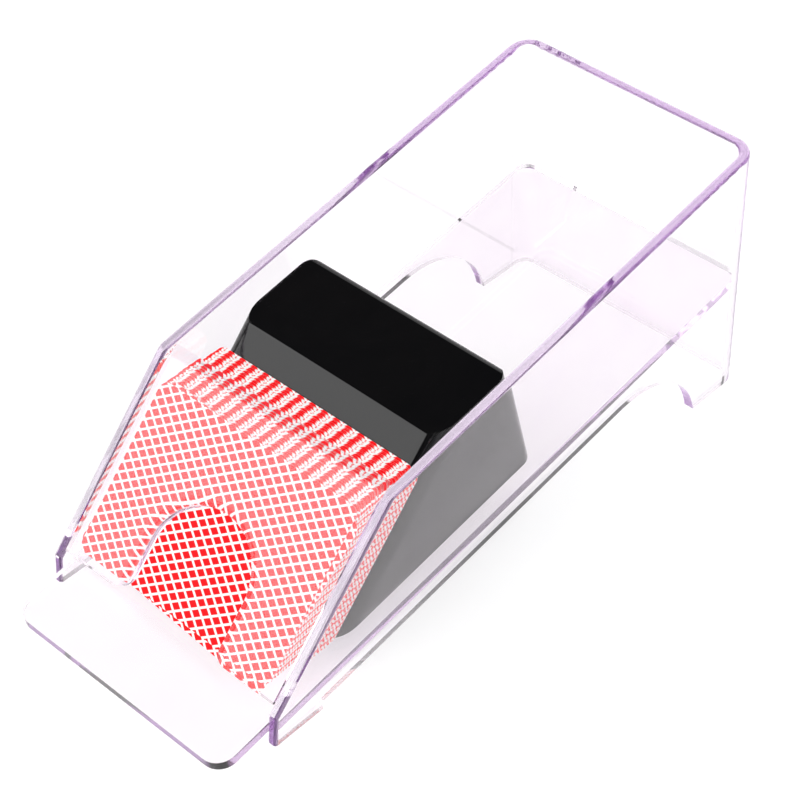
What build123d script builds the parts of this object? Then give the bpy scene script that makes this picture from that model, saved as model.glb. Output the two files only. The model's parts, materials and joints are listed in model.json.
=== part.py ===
from build123d import *
import os
from math import atan2, cos, radians, sin, sqrt, tan

# A clear acrylic dealing shoe for one deck of playing cards. The deck leans on a heavy black
# follower that rolls down the sloping floor and presses the cards against the front plate.
# Millimetres. +X to the right of the dealer's side, -Y towards the dealer, +Z up. The origin is
# at the centre of the footprint, on the table.

# ---- the shoe ----
WIDTH = 104.0              # outside, across the side walls
SHEET = 3.8                # acrylic sheet thickness
TONGUE_REACH = 20.4        # the floor plate sticks out this far in front of the side walls
HEEL = 241.0               # from the front of the side walls to the foot of the rear wall
LENGTH = TONGUE_REACH + HEEL
WALL_FRONT = TONGUE_REACH - LENGTH / 2
INNER = WIDTH - 2 * SHEET

# Points of the side view, as (distance behind the front of the side walls, height).
KNEE = (1.0, 12.3)         # the vertical front edge ends here and the slope starts
CREST = (53.2, 70.4)       # top of the slope
RIM_REAR = (234.8, 104.5)  # rear end of the rim
REAR_OUTER_R = 8.8
REAR_INNER_R = 5.0
CREST_R = 5.0
RIM_R = 1.3                # the polished edges of the rim, the slope and the front

FRONT_FOOT_END = 20.9
UNDERSIDE_RISE = 0.174     # the underside of the walls rises this much per unit of length
UNDERSIDE_START = -0.08
FOOT_FILLET = 2.6
ARCH_R = 39.5
ARCH_CENTRE_Y = 174.9
TRIM_HEIGHT = 130.0        # taller than the shoe, for the prism that hollows it

# ---- the floor plate ----
FLOOR_START = 7.63         # height of its upper surface at the front of the side walls
FLOOR_RISE = 0.181
TONGUE_CORNER_R = 7.0

# ---- the front plate and its finger notch, measured up the slope from the knee ----
PLATE_BOTTOM = 3.2
PLATE_TOP = 73.6           # the top is one bevel, from here on the front surface
PLATE_TOP_BACK = 80.9      # to here on the back surface
NOTCH_HALF_WIDTH = 20.4    # on the back surface
NOTCH_CENTRE = 23.2
NOTCH_FOOT_R = 6.5
LIP_WIDTH = 4.2            # the notch's front edge is rounded over, as a quarter of an ellipse
LIP_DEPTH = 3.2

# ---- the cards ----
CARD_WIDTH = 88.0
CARD_HEIGHT = 63.0
CARD_CORNER_R = 3.5
CARD_THICKNESS = 0.30
CARD_PITCH = 0.333
CARD_SHIFT = -1.8          # the deck stands a little to the left
CARD_COUNT = 54
FIRST_CARD_DEPTH = 4.1     # front face of the first card, behind the plate's front surface
FRONT_CARD_BOTTOM = 5.6    # the front card's lower edge, up the slope from the knee
FRONT_CARD_GAP = 0.12      # extra gap behind the front card, which slides on its own
SECOND_CARD_BOTTOM = 4.3   # the second card has slipped down and turned a little
SECOND_CARD_TURN = -3.6
SECOND_CARD_SHIFT = 0.8
DECK_BOTTOM = 5.6          # the third card's lower edge; the deck is sheared up to the last card
LAST_CARD_BOTTOM = 21.9
UNEVEN = 0.22              # how far the cards stand out of line, along the slope and across it
UNEVEN_TURN = 0.14         # degrees
PACKET_COUNT = 4
PACKET_SIZE = 13

# ---- the follower, drawn along the floor and square to it ----
FOLLOWER_HALF_WIDTH = 44.0
FOLLOWER_GAP = 0.35        # between the last card and the follower's face
FOLLOWER_BOTTOM = 1.3
FOLLOWER_TOP = 45.6
FOLLOWER_REAR_TOP = 127.0
FOLLOWER_REAR_FOOT = 131.2
CORNER_R = 6.0
BROW_R = 3.0               # the rounding of the top's front and rear edges
HEEL_R = 3.0
SHELL = 2.4
REAR_WALL = 4.4

BASE_THICKNESS = 3.0
BASE_GAP = 0.1
BOSS_R = 3.6
BOSS_X = 38.4
BOSS_US = (80.0, 104.0)
BOSS_TOP = 21.0

AXLE_R = 1.5
AXLE_HEIGHT = 4.8
AXLE_CHAMFER = 0.3
FRONT_AXLE_U = 56.0
REAR_AXLE_U = 116.5
AXLE_HALF_LENGTH = 38.4
ROLLER_R = 4.6
ROLLER_BORE_R = 1.55
ROLLER_WIDTH = 6.0
ROLLER_CHAMFER = 0.4
ROLLER_X = 30.0
ROLLER_SIDE_GAP = 0.4
RIB_THICKNESS = 2.6
RIB_LENGTH = 7.0
RIB_ABOVE_AXLE = 2.8
RIB_OFFSET = ROLLER_WIDTH / 2 + ROLLER_SIDE_GAP + RIB_THICKNESS / 2
CLIP_R = 2.8
CLIP_THICKNESS = 0.8
CLIP_GAP = 0.2

BALLAST_HALF_WIDTH = 26.0
BALLAST_FRONT = 63.0
BALLAST_REAR = 108.0
BALLAST_TOP = 36.5
BALLAST_FACE_GAP = 5.0     # behind the follower's face
BALLAST_CHAMFER = 1.5
BALLAST_SCREWS = [(0.0, 72.0), (0.0, 98.0)]

SCREW_R = 1.5
SCREW_LENGTH = 9.0         # in the boss or the ballast
HEAD_R = 2.8
HEAD_DEPTH = 1.6
HEAD_SUNK = 0.2
RECESS_LENGTH = 3.0
RECESS_WIDTH = 0.7
RECESS_DEPTH = 1.0

os.makedirs("parts", exist_ok=True)

SLOPE = atan2(CREST[1] - KNEE[1], CREST[0] - KNEE[0])
FLOOR = atan2(FLOOR_RISE, 1)
UNDERSIDE = atan2(UNDERSIDE_RISE, 1)
FACE = SLOPE - FLOOR       # the follower's face against the floor


def side_view(x=0):
    """Plane of the side view: its first axis runs backwards, its second one up."""
    return Plane(origin=(x, WALL_FRONT, 0), x_dir=(0, 1, 0), z_dir=(1, 0, 0))


def floor_view(x=0):
    """Side view along the floor plate: first axis up the floor, second one square to it."""
    return Plane(
        origin=(x, WALL_FRONT, FLOOR_START),
        x_dir=(0, cos(FLOOR), sin(FLOOR)),
        z_dir=(1, 0, 0),
    )


def slope_plane(depth, up=0.0):
    """Plane along the slope, the given depth behind it: first axis +X, second one up the slope."""
    y = WALL_FRONT + KNEE[0] + up * cos(SLOPE) + depth * sin(SLOPE)
    z = KNEE[1] + up * sin(SLOPE) - depth * cos(SLOPE)
    return Plane(origin=(0, y, z), x_dir=(1, 0, 0), z_dir=(0, -sin(SLOPE), cos(SLOPE)))


def slope_point(up, depth):
    """Side-view point at a distance up the slope and a depth behind it."""
    y = KNEE[0] + up * cos(SLOPE) + depth * sin(SLOPE)
    z = KNEE[1] + up * sin(SLOPE) - depth * cos(SLOPE)
    return (y, z)


def floor_plane(height):
    """Plane parallel to the floor plate, above it: first axis +X, second one up the floor."""
    return Plane(
        origin=(0, WALL_FRONT - height * sin(FLOOR), FLOOR_START + height * cos(FLOOR)),
        x_dir=(1, 0, 0),
        z_dir=(0, -sin(FLOOR), cos(FLOOR)),
    )


def card_depth(number):
    """Depth of a card's front face behind the slope. The front card stands a little apart."""
    extra = FRONT_CARD_GAP if number else 0
    return FIRST_CARD_DEPTH + number * CARD_PITCH + extra


def card_place(number):
    """A card's shift along X, the middle of its lower edge up the slope, and its turn."""
    if number == 0:
        return (CARD_SHIFT, FRONT_CARD_BOTTOM, 0.0)
    if number == 1:
        return (CARD_SHIFT + SECOND_CARD_SHIFT, SECOND_CARD_BOTTOM, SECOND_CARD_TURN)
    share = (number - 2) / (CARD_COUNT - 3)
    across = CARD_SHIFT + UNEVEN * sin(1.9 * number)
    bottom = DECK_BOTTOM + (LAST_CARD_BOTTOM - DECK_BOTTOM) * share + UNEVEN * sin(2.4 * number)
    return (across, bottom, UNEVEN_TURN * sin(3.1 * number))


FACE_DEPTH = card_depth(CARD_COUNT - 1) + CARD_THICKNESS + FOLLOWER_GAP


def face_u(height, depth=FACE_DEPTH):
    """Distance up the floor of a plane parallel to the slope, at a height square to the floor."""
    knee_u = KNEE[0] * cos(FLOOR) + (KNEE[1] - FLOOR_START) * sin(FLOOR)
    knee_height = (KNEE[1] - FLOOR_START) * cos(FLOOR) - KNEE[0] * sin(FLOOR)
    return knee_u + (height - knee_height) / tan(FACE) + depth / sin(FACE)


def rear_wall_y(height, inset=0.0):
    """Rear wall in the side view: its outer face, or a plane inset square to it."""
    lean = atan2(HEEL - RIM_REAR[0], RIM_REAR[1])
    return HEEL - height * tan(lean) - inset / cos(lean)


def underside(y):
    return UNDERSIDE_START + UNDERSIDE_RISE * y


def floor_height(y):
    return FLOOR_START + FLOOR_RISE * y


def upright_edges(face):
    """Edges of a face that run up it rather than across the shoe."""
    return face.edges().filter_by(Axis.X, reverse=True)


def faces_up_or_out(face):
    """Whether a face is a sheet edge that shows: the rim, the crest, the slope or the front."""
    normal = face.normal_at(face.center())
    return normal.Z > 0.3 or (normal.Y < -0.9 and face.center().Y < WALL_FRONT + KNEE[0])


def outlines(edge, faces):
    """Whether an edge off the table bounds the faces together, and not one from another."""
    owners = [face for face in faces if edge in face.edges()]
    return len(owners) == 1 and edge.center().Z > 0.01


# ---- side shell: both side walls and the rear wall, bent from one sheet ----
arch_centre_z = underside(ARCH_CENTRE_Y) - ARCH_R / cos(UNDERSIDE)
arch_half_foot = sqrt(ARCH_R**2 - arch_centre_z**2)
arch_start = (
    ARCH_CENTRE_Y - ARCH_R * sin(UNDERSIDE),
    arch_centre_z + ARCH_R * cos(UNDERSIDE),
)
arch_end = (ARCH_CENTRE_Y + arch_half_foot, 0)


def swept_outline(points, width, rear_radius):
    """A side-view outline swept across the shoe, with its two rear corners rounded."""
    with BuildPart() as block:
        with BuildSketch(side_view()):
            with BuildLine():
                Polyline(*points, close=True)
            make_face()
        extrude(amount=width / 2, both=True)
        fillet(upright_edges(block.faces().sort_by(Axis.Y)[-1]), rear_radius)
    return block.part


hollow = swept_outline(
    [
        (-TONGUE_REACH, -TRIM_HEIGHT),
        (rear_wall_y(-TRIM_HEIGHT, SHEET), -TRIM_HEIGHT),
        (rear_wall_y(TRIM_HEIGHT, SHEET), TRIM_HEIGHT),
        (-TONGUE_REACH, TRIM_HEIGHT),
    ],
    INNER,
    REAR_INNER_R,
)

with BuildPart() as side_shell:
    with BuildSketch(side_view()):
        with BuildLine():
            Polyline(
                arch_end,
                (HEEL, 0),
                RIM_REAR,
                CREST,
                KNEE,
                (0, 0),
                (FRONT_FOOT_END, 0),
                (FRONT_FOOT_END, underside(FRONT_FOOT_END)),
                arch_start,
            )
            RadiusArc(arch_start, arch_end, ARCH_R)
        make_face()
    extrude(amount=WIDTH / 2, both=True)
    fillet(upright_edges(side_shell.faces().sort_by(Axis.Y)[-1]), REAR_OUTER_R)
    add(hollow, mode=Mode.SUBTRACT)
    across = side_shell.edges().filter_by(Axis.X)
    crest_edges = across.filter_by(lambda e: abs(e.center().Z - CREST[1]) < 0.01)
    fillet(crest_edges, CREST_R)
    foot_y = WALL_FRONT + FRONT_FOOT_END
    foot_edges = across.filter_by(lambda e: abs(e.center().Y - foot_y) < 0.01)
    fillet(foot_edges.sort_by(Axis.Z)[-2:], FOOT_FILLET)
    edge_faces = side_shell.faces().filter_by(faces_up_or_out)
    polished = edge_faces.edges().filter_by(lambda e: outlines(e, edge_faces))
    fillet(polished, RIM_R)

side_shell.part.label = "side_shell"
export_step(side_shell.part, "parts/side_shell.step")


# ---- floor plate: slopes up to the rear wall and sticks out in front as a tongue ----
def floor_rear(drop):
    """Where a line parallel to the floor, dropped below it, meets the rear wall's inner face."""
    lean = (HEEL - RIM_REAR[0]) / RIM_REAR[1]
    y = (rear_wall_y(0, SHEET) - lean * (FLOOR_START - drop)) / (1 + lean * FLOOR_RISE)
    return (y, floor_height(y) - drop)


tongue_under = (
    -TONGUE_REACH + SHEET * sin(FLOOR),
    floor_height(-TONGUE_REACH) - SHEET * cos(FLOOR),
)
floor_block = swept_outline(
    [
        (-TONGUE_REACH, floor_height(-TONGUE_REACH)),
        floor_rear(0),
        floor_rear(SHEET / cos(FLOOR)),
        tongue_under,
    ],
    INNER,
    REAR_INNER_R,
)
with BuildPart() as floor_plate:
    add(floor_block)
    fillet(upright_edges(floor_plate.faces().sort_by(Axis.Y)[0]), TONGUE_CORNER_R)

floor_plate.part.label = "floor_plate"
export_step(floor_plate.part, "parts/floor_plate.step")

# ---- front plate, flush with the slope, with the finger notch ----
with BuildPart() as front_plate:
    with BuildSketch(side_view()):
        with BuildLine():
            Polyline(
                slope_point(PLATE_BOTTOM, 0),
                slope_point(PLATE_TOP, 0),
                slope_point(PLATE_TOP_BACK, SHEET),
                slope_point(PLATE_BOTTOM, SHEET),
                close=True,
            )
        make_face()
    extrude(amount=INNER / 2, both=True)
    with BuildSketch(slope_plane(0)):
        with BuildLine():
            Polyline(
                (-NOTCH_HALF_WIDTH, NOTCH_CENTRE),
                (-NOTCH_HALF_WIDTH, -PLATE_BOTTOM),
                (NOTCH_HALF_WIDTH, -PLATE_BOTTOM),
                (NOTCH_HALF_WIDTH, NOTCH_CENTRE),
            )
            RadiusArc(
                (-NOTCH_HALF_WIDTH, NOTCH_CENTRE),
                (NOTCH_HALF_WIDTH, NOTCH_CENTRE),
                NOTCH_HALF_WIDTH,
            )
        make_face()
    extrude(amount=SHEET * 2, both=True, mode=Mode.SUBTRACT)
    feet = (
        front_plate.edges()
        .filter_by(lambda e: abs(abs(e.center().X) - NOTCH_HALF_WIDTH) < 0.01)
        .filter_by(lambda e: abs(e.length - SHEET) < 0.01)
        .sort_by(Axis.Z)[:2]
    )
    fillet(feet, NOTCH_FOOT_R)
    notch_top = slope_plane(0, NOTCH_CENTRE)
    across_notch = Plane(notch_top.origin, x_dir=(1, 0, 0), z_dir=(0, cos(SLOPE), sin(SLOPE)))
    lip_edge = NOTCH_HALF_WIDTH + LIP_WIDTH
    with BuildSketch(across_notch) as lip:
        with BuildLine():
            EllipticalCenterArc(
                (lip_edge, LIP_DEPTH), LIP_WIDTH, LIP_DEPTH, start_angle=180, arc_size=90
            )
            Polyline(
                (lip_edge, 0),
                (lip_edge, -SHEET),
                (NOTCH_HALF_WIDTH - SHEET, -SHEET),
                (NOTCH_HALF_WIDTH - SHEET, LIP_DEPTH),
                (NOTCH_HALF_WIDTH, LIP_DEPTH),
            )
        make_face()
        mirror(about=Plane.YZ)
    extrude(lip.sketch, amount=-NOTCH_CENTRE - SHEET, mode=Mode.SUBTRACT)
    one_lip = lip.sketch.faces().sort_by(Axis.X)[-1]
    revolve(one_lip, Axis(notch_top.origin, notch_top.z_dir), 180, mode=Mode.SUBTRACT)

front_plate.part.label = "front_plate"
export_step(front_plate.part, "parts/front_plate.step")


# ---- cards ----
def card_solids(numbers):
    """Playing cards of the deck, counted from the front, each a solid of its own."""
    with BuildPart() as cards:
        for number in numbers:
            across, bottom, turn = card_place(number)
            middle = bottom + CARD_HEIGHT / 2
            with BuildSketch(slope_plane(card_depth(number), middle)):
                with Locations(Location((across, 0), turn)):
                    RectangleRounded(CARD_WIDTH, CARD_HEIGHT, CARD_CORNER_R)
            extrude(amount=-CARD_THICKNESS)
    return cards


deck = {"front_card": [0], "back_card": [CARD_COUNT - 1]}
for packet in range(PACKET_COUNT):
    first = 1 + packet * PACKET_SIZE
    deck[f"card_packet_{packet + 1}"] = range(first, first + PACKET_SIZE)

for name, numbers in deck.items():
    cards = card_solids(numbers)
    cards.part.label = name
    export_step(cards.part, f"parts/{name}.step")


# ---- follower ----
REAR_LEAN = atan2(FOLLOWER_REAR_FOOT - FOLLOWER_REAR_TOP, FOLLOWER_TOP - FOLLOWER_BOTTOM)
REACH = 4 * FOLLOWER_TOP   # longer than the follower, for the prisms that trim it


def follower_solid(inset, rear_inset, bottom, heel_r=0.0):
    """The follower's wedge, inset on all sides: sloping face, flat top, nearly upright rear."""
    top = FOLLOWER_TOP - inset
    half_width = FOLLOWER_HALF_WIDTH - inset
    depth = FACE_DEPTH + inset
    foot_u = FOLLOWER_REAR_FOOT - rear_inset
    corner_r = CORNER_R - inset
    face_plane = Plane(
        origin=slope_plane(depth).origin,
        x_dir=(1, 0, 0),
        z_dir=(0, cos(SLOPE), sin(SLOPE)),
    )
    rear_plane = Plane(
        origin=floor_view().from_local_coords((foot_u, FOLLOWER_BOTTOM, 0)),
        x_dir=(1, 0, 0),
        z_dir=(0, -sin(FLOOR + REAR_LEAN), cos(FLOOR + REAR_LEAN)),
    )
    with BuildPart() as wedge:
        with BuildSketch(floor_view()):
            with BuildLine():
                Polyline(
                    (face_u(bottom, depth), bottom),
                    (face_u(top, depth), top),
                    (foot_u - (top - FOLLOWER_BOTTOM) * tan(REAR_LEAN), top),
                    (foot_u - (bottom - FOLLOWER_BOTTOM) * tan(REAR_LEAN), bottom),
                    close=True,
                )
            make_face()
        extrude(amount=half_width, both=True)
        rear_edges = wedge.faces().sort_by(Axis.Y)[-1].edges().filter_by(Axis.X)
        if heel_r:
            fillet(rear_edges.sort_by(Axis.Z)[0], heel_r)
        top_edges = wedge.faces().sort_by(Axis.Z)[-1].edges().filter_by(Axis.X)
        fillet(top_edges, BROW_R - inset)
        for plane, side in ((face_plane, 1), (rear_plane, -1)):
            with BuildSketch(plane):
                with Locations((0, side * REACH / 2)):
                    RectangleRounded(2 * half_width, REACH, corner_r)
            extrude(amount=REACH, both=True, mode=Mode.INTERSECT)
    return wedge.part


def upright_cylinder(x, u, bottom, top, radius, mode=Mode.ADD):
    """Cylinder square to the floor, at a place along it, between two heights."""
    with BuildSketch(floor_plane(bottom)) as disc:
        with Locations((x, u)):
            Circle(radius)
    extrude(disc.sketch, amount=top - bottom, mode=mode)


def cross_cylinder(u, height, start, end, radius, mode=Mode.ADD):
    """Cylinder along X, parallel to the floor plate, from one x to another."""
    with BuildSketch(floor_view(start)) as disc:
        with Locations((u, height)):
            Circle(radius)
    extrude(disc.sketch, amount=end - start, mode=mode)


BASE_TOP = FOLLOWER_BOTTOM + BASE_THICKNESS
AXLES = {"front": FRONT_AXLE_U, "rear": REAR_AXLE_U}
BOSS_PLACES = [(side * BOSS_X, u) for side in (-1, 1) for u in BOSS_US]
RIB_OUTSIDE = ROLLER_X + RIB_OFFSET + RIB_THICKNESS / 2
CLIP_STARTS = (RIB_OUTSIDE + CLIP_GAP, -RIB_OUTSIDE - CLIP_GAP - CLIP_THICKNESS)

with BuildPart() as follower_cover:
    add(follower_solid(0, 0, FOLLOWER_BOTTOM, HEEL_R))
    add(follower_solid(SHELL, REAR_WALL, FOLLOWER_BOTTOM - SHELL), mode=Mode.SUBTRACT)
    for x, u in BOSS_PLACES:
        upright_cylinder(x, u, BASE_TOP, BOSS_TOP, BOSS_R)
        upright_cylinder(x, u, BASE_TOP, BASE_TOP + SCREW_LENGTH, SCREW_R, Mode.SUBTRACT)

follower_cover.part.label = "follower_cover"
export_step(follower_cover.part, "parts/follower_cover.step")

# The base closes the underside: slots for the rollers, ribs for the axles, screw holes.
with BuildPart() as follower_base:
    add(follower_solid(SHELL + BASE_GAP, REAR_WALL + BASE_GAP, FOLLOWER_BOTTOM))
    with BuildSketch(floor_plane(BASE_TOP)):
        with Locations((0, FRONT_AXLE_U)):
            Rectangle(2 * REACH, 2 * REACH)
    extrude(amount=REACH, mode=Mode.SUBTRACT)
    for u in AXLES.values():
        for side in (-1, 1):
            with BuildSketch(floor_plane(FOLLOWER_BOTTOM)):
                with Locations((side * ROLLER_X, u)):
                    Rectangle(ROLLER_WIDTH + 2 * ROLLER_SIDE_GAP, 2 * ROLLER_R + 2)
            extrude(amount=BASE_THICKNESS, mode=Mode.SUBTRACT)
            for offset in (-1, 1):
                rib_x = side * ROLLER_X + offset * RIB_OFFSET
                with BuildSketch(floor_plane(BASE_TOP)):
                    with Locations((rib_x, u)):
                        Rectangle(RIB_THICKNESS, RIB_LENGTH)
                extrude(amount=AXLE_HEIGHT + RIB_ABOVE_AXLE - BASE_TOP)
        cross_cylinder(u, AXLE_HEIGHT, -AXLE_HALF_LENGTH, AXLE_HALF_LENGTH, AXLE_R, Mode.SUBTRACT)
        for start in CLIP_STARTS:
            pocket_end = start + CLIP_THICKNESS + CLIP_GAP
            cross_cylinder(
                u, AXLE_HEIGHT, start - CLIP_GAP, pocket_end, CLIP_R + CLIP_GAP, Mode.SUBTRACT
            )
    for x, u in BOSS_PLACES + BALLAST_SCREWS:
        upright_cylinder(x, u, FOLLOWER_BOTTOM, BASE_TOP, SCREW_R, Mode.SUBTRACT)
        upright_cylinder(
            x, u, FOLLOWER_BOTTOM, FOLLOWER_BOTTOM + HEAD_DEPTH, HEAD_R, Mode.SUBTRACT
        )

follower_base.part.label = "follower_base"
export_step(follower_base.part, "parts/follower_base.step")

# The ballast stands on the base between the axles and fills the wedge.
with BuildPart() as ballast:
    ballast_depth = FACE_DEPTH + BALLAST_FACE_GAP
    front_height = BASE_TOP + (BALLAST_FRONT - face_u(BASE_TOP, ballast_depth)) * tan(FACE)
    with BuildSketch(floor_view()):
        with BuildLine():
            Polyline(
                (BALLAST_FRONT, BASE_TOP),
                (BALLAST_FRONT, front_height),
                (face_u(BALLAST_TOP, ballast_depth), BALLAST_TOP),
                (BALLAST_REAR, BALLAST_TOP),
                (BALLAST_REAR, BASE_TOP),
                close=True,
            )
        make_face()
    extrude(amount=BALLAST_HALF_WIDTH, both=True)
    chamfer(ballast.edges().filter_by(Axis.X).sort_by(Axis.Z)[-2:], BALLAST_CHAMFER)
    for x, u in BALLAST_SCREWS:
        upright_cylinder(x, u, BASE_TOP, BASE_TOP + SCREW_LENGTH, SCREW_R, Mode.SUBTRACT)

ballast.part.label = "ballast"
export_step(ballast.part, "parts/ballast.step")

for place, u in AXLES.items():
    with BuildPart() as axle:
        cross_cylinder(u, AXLE_HEIGHT, -AXLE_HALF_LENGTH, AXLE_HALF_LENGTH, AXLE_R)
        chamfer(axle.edges(), AXLE_CHAMFER)
    axle.part.label = f"{place}_axle"
    export_step(axle.part, f"parts/{place}_axle.step")

    for hand, side in (("left", -1), ("right", 1)):
        inner_end = side * ROLLER_X - ROLLER_WIDTH / 2
        outer_end = side * ROLLER_X + ROLLER_WIDTH / 2
        with BuildPart() as roller:
            cross_cylinder(u, AXLE_HEIGHT, inner_end, outer_end, ROLLER_R)
            chamfer(roller.edges(), ROLLER_CHAMFER)
            cross_cylinder(u, AXLE_HEIGHT, inner_end, outer_end, ROLLER_BORE_R, Mode.SUBTRACT)
        roller.part.label = f"{place}_{hand}_roller"
        export_step(roller.part, f"parts/{place}_{hand}_roller.step")

# Push-on clips outside the outermost ribs hold the axles.
with BuildPart() as axle_clips:
    for u in AXLES.values():
        for start in CLIP_STARTS:
            end = start + CLIP_THICKNESS
            cross_cylinder(u, AXLE_HEIGHT, start, end, CLIP_R)
            cross_cylinder(u, AXLE_HEIGHT, start, end, AXLE_R, Mode.SUBTRACT)

axle_clips.part.label = "axle_clips"
export_step(axle_clips.part, "parts/axle_clips.step")


def countersunk_screws(places):
    """Screws driven up through the base: a flat head with a cross recess, and a shank."""
    head_top = FOLLOWER_BOTTOM + HEAD_DEPTH
    with BuildPart() as screws:
        for x, u in places:
            upright_cylinder(x, u, FOLLOWER_BOTTOM + HEAD_SUNK, head_top, HEAD_R)
            upright_cylinder(x, u, head_top, BASE_TOP + SCREW_LENGTH, SCREW_R)
            for length, width in ((RECESS_LENGTH, RECESS_WIDTH), (RECESS_WIDTH, RECESS_LENGTH)):
                with BuildSketch(floor_plane(FOLLOWER_BOTTOM)):
                    with Locations((x, u)):
                        Rectangle(length, width)
                extrude(amount=RECESS_DEPTH, mode=Mode.SUBTRACT)
    return screws


for name, places in (("base_screws", BOSS_PLACES), ("ballast_screws", BALLAST_SCREWS)):
    screws = countersunk_screws(places)
    screws.part.label = name
    export_step(screws.part, f"parts/{name}.step")
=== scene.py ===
# A clear acrylic card dealing shoe, with its deck of cards and its black follower.

import json
from math import atan2, cos, pi, radians, sin

import bmesh
import bpy
from mathutils import Matrix, Vector

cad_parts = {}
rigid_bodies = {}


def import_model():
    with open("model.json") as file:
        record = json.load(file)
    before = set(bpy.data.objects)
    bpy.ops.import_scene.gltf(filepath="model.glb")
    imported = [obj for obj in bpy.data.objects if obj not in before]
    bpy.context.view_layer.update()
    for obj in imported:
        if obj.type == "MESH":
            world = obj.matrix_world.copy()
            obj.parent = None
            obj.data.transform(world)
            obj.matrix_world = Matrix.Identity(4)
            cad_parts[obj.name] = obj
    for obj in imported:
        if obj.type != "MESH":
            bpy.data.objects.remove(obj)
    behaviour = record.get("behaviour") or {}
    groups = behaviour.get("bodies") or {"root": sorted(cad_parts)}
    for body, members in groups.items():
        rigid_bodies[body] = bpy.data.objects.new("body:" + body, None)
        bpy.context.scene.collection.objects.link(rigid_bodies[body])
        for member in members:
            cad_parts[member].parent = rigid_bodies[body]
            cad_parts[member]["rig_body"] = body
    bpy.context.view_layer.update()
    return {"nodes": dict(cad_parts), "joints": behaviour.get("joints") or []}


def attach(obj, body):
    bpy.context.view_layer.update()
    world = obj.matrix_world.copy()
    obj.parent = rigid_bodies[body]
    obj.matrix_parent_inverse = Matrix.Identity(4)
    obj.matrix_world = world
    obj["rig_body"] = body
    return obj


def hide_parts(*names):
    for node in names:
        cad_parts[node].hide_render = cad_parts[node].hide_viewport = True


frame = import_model()
nodes = frame["nodes"]
MM = 0.001
scene = bpy.context.scene

# ---- sizes taken from the frame ----
SLOPE = next(Vector(j["axis"]) for j in frame["joints"] if j["name"] == "deck_lift")
RIGHT = Vector((1, 0, 0))
FACE = RIGHT.cross(SLOPE)          # out of the cards' backs, towards the dealer
CARD_SIZE = (88.0 * MM, 63.0 * MM)


# ---- node helpers ----
class Shader:
    """A material's node tree, with short calls for the nodes that the materials share."""

    def __init__(self, name):
        self.material = bpy.data.materials.new(name)
        self.material.use_nodes = True
        self.tree = self.material.node_tree
        self.tree.nodes.clear()
        self.output = self.node("ShaderNodeOutputMaterial")

    def node(self, kind, **values):
        made = self.tree.nodes.new(kind)
        for key, value in values.items():
            setattr(made, key, value)
        return made

    def link(self, source, target):
        self.tree.links.new(source, target)

    def fill(self, socket, value):
        """Links a socket to another one, or sets its value."""
        if isinstance(value, bpy.types.NodeSocket):
            self.link(value, socket)
        elif value is not None:
            socket.default_value = value

    def math(self, operation, a, b=None):
        made = self.node("ShaderNodeMath", operation=operation)
        for socket, value in zip(made.inputs, (a, b)):
            self.fill(socket, value)
        return made.outputs[0]

    def mix(self, share, a, b):
        """A colour between a and b."""
        made = self.node("ShaderNodeMix", data_type="RGBA")
        self.fill(made.inputs[0], share)
        self.fill(made.inputs[6], a)
        self.fill(made.inputs[7], b)
        return made.outputs[2]

    def between(self, value, low, high, to_low=0.0, to_high=1.0):
        """value from low..high to to_low..to_high, clamped."""
        made = self.node("ShaderNodeMapRange")
        for index, number in enumerate((value, low, high, to_low, to_high)):
            self.fill(made.inputs[index], number)
        return made.outputs[0]

    def place(self):
        """The point on the piece, in the row frame at rest."""
        return self.node("ShaderNodeTexCoord").outputs["Object"]

    def stretched(self, vector, scale):
        made = self.node("ShaderNodeVectorMath", operation="MULTIPLY")
        self.fill(made.inputs[0], vector)
        made.inputs[1].default_value = scale
        return made.outputs[0]

    def noise(self, vector, scale, detail=3.0, roughness=0.5, distortion=0.0):
        made = self.node("ShaderNodeTexNoise")
        self.fill(made.inputs["Vector"], vector)
        made.inputs["Scale"].default_value = scale
        made.inputs["Detail"].default_value = detail
        made.inputs["Roughness"].default_value = roughness
        made.inputs["Distortion"].default_value = distortion
        return made.outputs["Fac"]

    def scratches(self, vector, scale, width=0.02):
        """Sparse fine scratches: thin bands of a stretched cell pattern."""
        made = self.node("ShaderNodeTexVoronoi", feature="DISTANCE_TO_EDGE")
        self.fill(made.inputs["Vector"], vector)
        made.inputs["Scale"].default_value = scale
        return self.between(made.outputs["Distance"], 0.0, width, 1.0, 0.0)

    def bump(self, height, distance, strength=1.0):
        made = self.node("ShaderNodeBump")
        made.inputs["Strength"].default_value = strength
        made.inputs["Distance"].default_value = distance
        self.fill(made.inputs["Height"], height)
        return made.outputs["Normal"]

    def principled(self, **values):
        made = self.node("ShaderNodeBsdfPrincipled")
        for key, value in values.items():
            self.fill(made.inputs[key.replace("_", " ")], value)
        self.link(made.outputs[0], self.output.inputs["Surface"])
        return made


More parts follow.
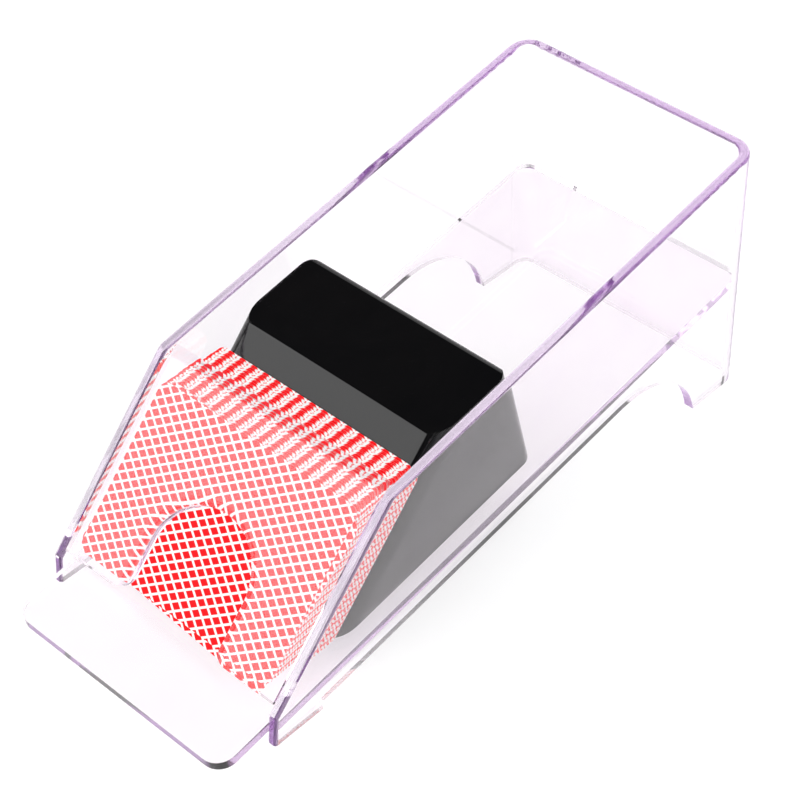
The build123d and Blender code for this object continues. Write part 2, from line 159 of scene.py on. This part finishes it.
# ---- materials ----
def acrylic_material():
    """Clear cast acrylic: water-white through the sheet, violet along it. Lamps and light
    that the table and the cards scatter go straight through it, as through a thin sheet."""
    s = Shader("clear_acrylic")
    place = s.place()
    haze = s.noise(place, 60, 4)
    hairlines = s.scratches(s.stretched(place, (1, 0.12, 1)), 260, 0.01)
    rough = s.math("ADD", s.between(haze, 0.45, 0.75, 0.0, 0.012), s.math("MULTIPLY", hairlines, 0.02))
    glass = s.principled(
        Base_Color=s.mix(s.between(haze, 0.35, 0.65), (1.0, 0.978, 0.992, 1), (0.985, 0.955, 0.982, 1)),
        Roughness=rough,
        IOR=1.49,
        Transmission_Weight=1.0,
    )
    clear = s.node("ShaderNodeBsdfTransparent")
    path = s.node("ShaderNodeLightPath")
    either = s.math("MAXIMUM", path.outputs["Is Shadow Ray"], path.outputs["Is Diffuse Ray"])
    mix = s.node("ShaderNodeMixShader")
    s.link(either, mix.inputs[0])
    s.link(glass.outputs[0], mix.inputs[1])
    s.link(clear.outputs[0], mix.inputs[2])
    s.link(mix.outputs[0], s.output.inputs["Surface"])
    depth = s.node("ShaderNodeVolumeAbsorption")
    depth.inputs["Color"].default_value = (0.40, 0.0, 0.55, 1.0)
    depth.inputs["Density"].default_value = 4.5
    s.link(depth.outputs[0], s.output.inputs["Volume"])
    return s.material


def black_material():
    """Polished black plastic with faint swirls and dust."""
    s = Shader("black_plastic")
    place = s.place()
    cloud = s.noise(place, 45, 5, 0.6, 0.6)
    smear = s.noise(s.stretched(place, (0.5, 1, 1)), 22, 4, 0.6, 1.2)
    swirl = s.scratches(s.stretched(place, (1, 0.25, 0.6)), 420, 0.012)
    greasy = s.between(smear, 0.42, 0.68, 0.03, 0.17)
    rough = s.math("ADD", greasy, s.math("MULTIPLY", swirl, 0.06))
    colour = s.mix(s.between(cloud, 0.3, 0.8), (0.0013, 0.0013, 0.0018, 1), (0.0032, 0.0028, 0.0032, 1))
    waves = s.math("ADD", smear, s.math("MULTIPLY", cloud, 0.05))
    s.principled(
        Base_Color=colour,
        Roughness=rough,
        IOR=1.45,
        Normal=s.bump(waves, 0.12 * MM),
    )
    return s.material


LATTICE = (0.187, 0.2549)      # lattice lines per millimetre, across the card and up it
LATTICE_START = (0.270, 0.4465)
LINE_SHARE = 0.25              # how much of the lattice's pitch a white line takes


def lattice_lines(s, across, up, sign, start):
    """One of the lattice's two families of parallel white lines."""
    sideways = s.math("MULTIPLY", across, sign * LATTICE[0] * 1000)
    upwards = s.math("MULTIPLY", up, LATTICE[1] * 1000)
    phase = s.math("SUBTRACT", s.math("ADD", sideways, upwards), start - 0.5)
    off = s.math("ABSOLUTE", s.math("SUBTRACT", s.math("FRACT", phase), 0.5))
    return s.between(off, LINE_SHARE / 2 - 0.02, LINE_SHARE / 2 + 0.02, 1.0, 0.0)


def card_material():
    """Coated card: a red lattice back printed to the edge, white paper core and faces."""
    s = Shader("card_paper")
    uv = s.node("ShaderNodeUVMap", uv_map="card").outputs[0]
    split = s.node("ShaderNodeSeparateXYZ")
    s.link(uv, split.inputs[0])
    across, up = split.outputs[0], split.outputs[1]
    lines = [lattice_lines(s, across, up, sign, start) for sign, start in zip((1, -1), LATTICE_START)]
    white_line = s.math("MAXIMUM", *lines)
    ink_grain = s.noise(uv, 9000, 2)
    red = s.mix(ink_grain, (0.86, 0.0, 0.003, 1), (0.93, 0.001, 0.006, 1))
    paper = s.mix(ink_grain, (0.86, 0.87, 0.86, 1), (0.92, 0.92, 0.92, 1))
    printed = s.mix(white_line, red, paper)
    side = s.node("ShaderNodeAttribute", attribute_name="paper").outputs["Fac"]
    colour = s.mix(side, printed, paper)
    linen = s.noise(uv, 3500, 2)
    s.principled(
        Base_Color=colour,
        Roughness=s.between(linen, 0.3, 0.7, 0.4, 0.55),
        Specular_IOR_Level=0.12,
        Normal=s.bump(linen, 0.01 * MM, 0.3),
    )
    return s.material


def metal_material(name, colour, rough):
    """Drawn or sawn steel with fine lines along the shoe's width."""
    s = Shader(name)
    place = s.place()
    lines = s.noise(s.stretched(place, (0.05, 1, 1)), 900, 3)
    spots = s.noise(place, 120, 4)
    s.principled(
        Base_Color=s.mix(spots, colour, tuple(0.7 * c for c in colour[:3]) + (1,)),
        Metallic=1.0,
        Roughness=s.between(lines, 0.3, 0.7, rough, rough + 0.2),
        Normal=s.bump(lines, 0.02 * MM, 0.4),
    )
    return s.material


def nylon_material():
    """Natural white nylon rollers, slightly grimed."""
    s = Shader("nylon")
    grime = s.noise(s.place(), 400, 4)
    s.principled(
        Base_Color=s.mix(s.between(grime, 0.4, 0.7), (0.8, 0.79, 0.74, 1), (0.6, 0.59, 0.55, 1)),
        Roughness=s.between(grime, 0.3, 0.7, 0.35, 0.55),
        Subsurface_Weight=0.1,
        Subsurface_Scale=0.002,
    )
    return s.material


acrylic = acrylic_material()
black = black_material()
card_look = card_material()
steel = metal_material("steel", (0.62, 0.62, 0.64, 1), 0.2)
ballast_steel = metal_material("ballast_steel", (0.26, 0.26, 0.27, 1), 0.4)
nylon = nylon_material()


# ---- CAD nodes: softened edges and finishes ----
def dress(name, material, edge=0.0, segments=2, inset=0.0):
    """Gives a CAD node its material and breaks its sharp edges."""
    piece = nodes[name]
    for slot in piece.material_slots:
        slot.material = material
    if edge:
        weld = piece.modifiers.new("weld", "WELD")
        weld.merge_threshold = 0.002 * MM
        if inset:
            glue = piece.modifiers.new("glue_gap", "DISPLACE")
            glue.strength = -inset
            glue.mid_level = 0.0
        bevel = piece.modifiers.new("edges", "BEVEL")
        bevel.width = edge
        bevel.segments = segments
        bevel.limit_method = "ANGLE"
        bevel.angle_limit = radians(30)
        bevel.use_clamp_overlap = True
        smooth = piece.modifiers.new("normals", "WEIGHTED_NORMAL")
        smooth.weight = 90


dress("side_shell", acrylic)
dress("floor_plate", acrylic, 0.25 * MM, 2, 0.02 * MM)
dress("front_plate", acrylic, 0.25 * MM, 2, 0.02 * MM)
dress("follower_cover", black, 0.4 * MM, 3)
dress("follower_base", black)
dress("ballast", ballast_steel, 0.3 * MM)
for name in ("front_axle", "rear_axle", "axle_clips", "base_screws", "ballast_screws"):
    dress(name, steel)
for end in ("front", "rear"):
    for side in ("left", "right"):
        dress(f"{end}_{side}_roller", nylon)


# ---- cards ----
def islands(node):
    """The separate solids of a CAD node, each a list of its points."""
    work = bmesh.new()
    work.from_mesh(nodes[node].data)
    bmesh.ops.remove_doubles(work, verts=work.verts, dist=0.002 * MM)
    seen = set()
    found = []
    for start in work.verts:
        if start in seen:
            continue
        seen.add(start)
        growing = [start]
        points = []
        while growing:
            vertex = growing.pop()
            points.append(vertex.co.copy())
            for edge in vertex.link_edges:
                other = edge.other_vert(vertex)
                if other not in seen:
                    seen.add(other)
                    growing.append(other)
        found.append(points)
    work.free()
    return found


def card_frame(points):
    """Matrix of a card: x along its long edge, y up its short one, z out of its back."""
    middle = sum(points, Vector()) / len(points)
    flat = [((p - middle).dot(RIGHT), (p - middle).dot(SLOPE)) for p in points]
    spread_x = sum(x * x for x, y in flat)
    spread_y = sum(y * y for x, y in flat)
    shared = sum(x * y for x, y in flat)
    turn = atan2(2 * shared, spread_x - spread_y) / 2
    along = RIGHT * cos(turn) + SLOPE * sin(turn)
    up = SLOPE * cos(turn) - RIGHT * sin(turn)
    return Matrix((along, up, FACE)).transposed().to_4x4(), middle


CORNER_R = 3.5 * MM
CORNER_STEPS = 7
THICKNESS = 0.30 * MM
BREAK = 0.05 * MM           # the softened rim of a card


def card_outline(inset):
    width, height = (side / 2 - inset for side in CARD_SIZE)
    radius = CORNER_R - inset
    points = []
    for index, (sx, sy) in enumerate(((1, 1), (-1, 1), (-1, -1), (1, -1))):
        centre = (sx * (width - radius), sy * (height - radius))
        for step in range(CORNER_STEPS + 1):
            angle = (index + step / CORNER_STEPS) * pi / 2
            points.append((centre[0] + radius * cos(angle), centre[1] + radius * sin(angle)))
    return points


def add_card(work, uv_layer, paper_layer, place, middle):
    """One card: a back and a face with softened rims, carrying its own print coordinates."""
    rings = []
    half = THICKNESS / 2
    for inset, height in ((BREAK, half), (0, half - BREAK), (0, BREAK - half), (BREAK, -half)):
        ring = []
        for x, y in card_outline(inset):
            vertex = work.verts.new(middle + place @ Vector((x, y, height)))
            ring.append((vertex, x, y))
        rings.append(ring)
    faces = [(list(rings[0]), 0.0), (list(reversed(rings[-1])), 1.0)]
    share = (0.0, 0.45, 1.0)
    for low, high, paper in zip(rings[1:], rings[:-1], share):
        count = len(low)
        for index in range(count):
            after = (index + 1) % count
            faces.append(([low[index], low[after], high[after], high[index]], paper))
    for corners, paper in faces:
        face = work.faces.new([c[0] for c in corners])
        face.smooth = len(corners) == 4
        for loop, corner in zip(face.loops, corners):
            loop[uv_layer].uv = (corner[1], corner[2] + CARD_SIZE[1] / 2)
            loop[paper_layer] = paper


def make_cards(node):
    """The cards that stand for a CAD node of the deck, each where its solid is."""
    work = bmesh.new()
    uv_layer = work.loops.layers.uv.new("card")
    paper_layer = work.loops.layers.float.new("paper")
    for points in islands(node):
        place, middle = card_frame(points)
        add_card(work, uv_layer, paper_layer, place, middle)
    mesh = bpy.data.meshes.new(f"{node}_look")
    work.to_mesh(mesh)
    work.free()
    piece = bpy.data.objects.new(f"{node}_look", mesh)
    scene.collection.objects.link(piece)
    mesh.materials.append(card_look)
    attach(piece, nodes[node]["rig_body"])
    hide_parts(node)
    return piece


make_cards("front_card")
for number in (1, 2, 3, 4):
    make_cards(f"card_packet_{number}")
make_cards("back_card")


# ---- table and light ----
def table():
    """A pale table just below the feet, which gives off light for an even white ground."""
    size = 3.0
    mesh = bpy.data.meshes.new("table")
    corners = [(-size, -size), (size, -size), (size, size), (-size, size)]
    mesh.from_pydata([(x, y, -0.1 * MM) for x, y in corners], [], [(0, 1, 2, 3)])
    piece = bpy.data.objects.new("table", mesh)
    scene.collection.objects.link(piece)
    s = Shader("table")
    grain = s.noise(s.place(), 30, 3)
    s.principled(
        Base_Color=s.mix(grain, (0.58, 0.58, 0.585, 1), (0.60, 0.60, 0.60, 1)),
        Roughness=0.8,
        Specular_IOR_Level=0.2,
        Emission_Color=(1.0, 1.0, 1.0, 1.0),
        Emission_Strength=0.5,
    )
    mesh.materials.append(s.material)


# Soft boxes of the studio: direction, half angle in degrees, softness of the edge, brightness.
BOXES = [
    ((0.30, -0.30, 0.90), 30, 5, 2.2),
    ((-0.50, -0.72, 0.47), 22, 3, 2.6),
    ((0.75, 0.10, 0.65), 18, 5, 1.8),
    ((-0.72, 0.79, -1.0), 88, 4, 1.0),
]
ROOM = 0.075                # how bright the room is between them


def soft_step(tree, value, numbers):
    """A value eased between two limits and onto two others, in the world's nodes."""
    made = tree.nodes.new("ShaderNodeMapRange")
    made.interpolation_type = "SMOOTHSTEP"
    tree.links.new(value, made.inputs[0])
    for index, number in enumerate(numbers, 1):
        made.inputs[index].default_value = number
    return made.outputs[0]


def studio():
    """Soft boxes overhead and to the front left in a dim room, with a pale horizon."""
    world = bpy.data.worlds.new("studio")
    scene.world = world
    world.use_nodes = True
    tree = world.node_tree
    tree.nodes.clear()
    output = tree.nodes.new("ShaderNodeOutputWorld")
    back = tree.nodes.new("ShaderNodeBackground")
    tree.links.new(back.outputs[0], output.inputs[0])
    back.inputs["Color"].default_value = (1, 1, 1, 1)
    direction = tree.nodes.new("ShaderNodeTexCoord").outputs["Generated"]
    split = tree.nodes.new("ShaderNodeSeparateXYZ")
    tree.links.new(direction, split.inputs[0])
    level = soft_step(tree, split.outputs[2], (0.12, 0.35, 1.0, ROOM))
    for towards, half, soft, bright in BOXES:
        dot = tree.nodes.new("ShaderNodeVectorMath")
        dot.operation = "DOT_PRODUCT"
        tree.links.new(direction, dot.inputs[0])
        dot.inputs[1].default_value = Vector(towards).normalized()
        limits = (cos(radians(half + soft)), cos(radians(half)), 0.0, bright)
        box = soft_step(tree, dot.outputs["Value"], limits)
        brighter = tree.nodes.new("ShaderNodeMath")
        brighter.operation = "MAXIMUM"
        tree.links.new(level, brighter.inputs[0])
        tree.links.new(box, brighter.inputs[1])
        level = brighter.outputs[0]
    tree.links.new(level, back.inputs["Strength"])


def camera():
    """The view from the right of the dealer, 42 degrees above the table."""
    azimuth, elevation, roll = radians(42.505), radians(42.103), radians(0.345)
    back = Vector((sin(azimuth) * cos(elevation), -cos(azimuth) * cos(elevation), sin(elevation)))
    right = Vector((cos(azimuth), sin(azimuth), 0))
    up = back.cross(right)
    x = right * cos(roll) + up * sin(roll)
    y = up * cos(roll) - right * sin(roll)
    lens = bpy.data.cameras.new("camera")
    lens.sensor_width = 36.0
    lens.lens = 99.23
    lens.shift_x = 0.0014
    lens.shift_y = 0.0011
    lens.clip_start = 0.01
    eye = bpy.data.objects.new("camera", lens)
    scene.collection.objects.link(eye)
    place = Matrix((x, y, back)).transposed().to_4x4()
    place.translation = Vector((372.98, -404.99, 537.22)) * MM
    eye.matrix_world = place
    scene.camera = eye


table()
studio()
camera()
scene.view_settings.view_transform = "Standard"
scene.cycles.max_bounces = 64
scene.cycles.transmission_bounces = 64
scene.cycles.glossy_bounces = 64
scene.cycles.transparent_max_bounces = 32
scene.cycles.caustics_reflective = False
scene.cycles.caustics_refractive = False

bpy.context.view_layer.update()
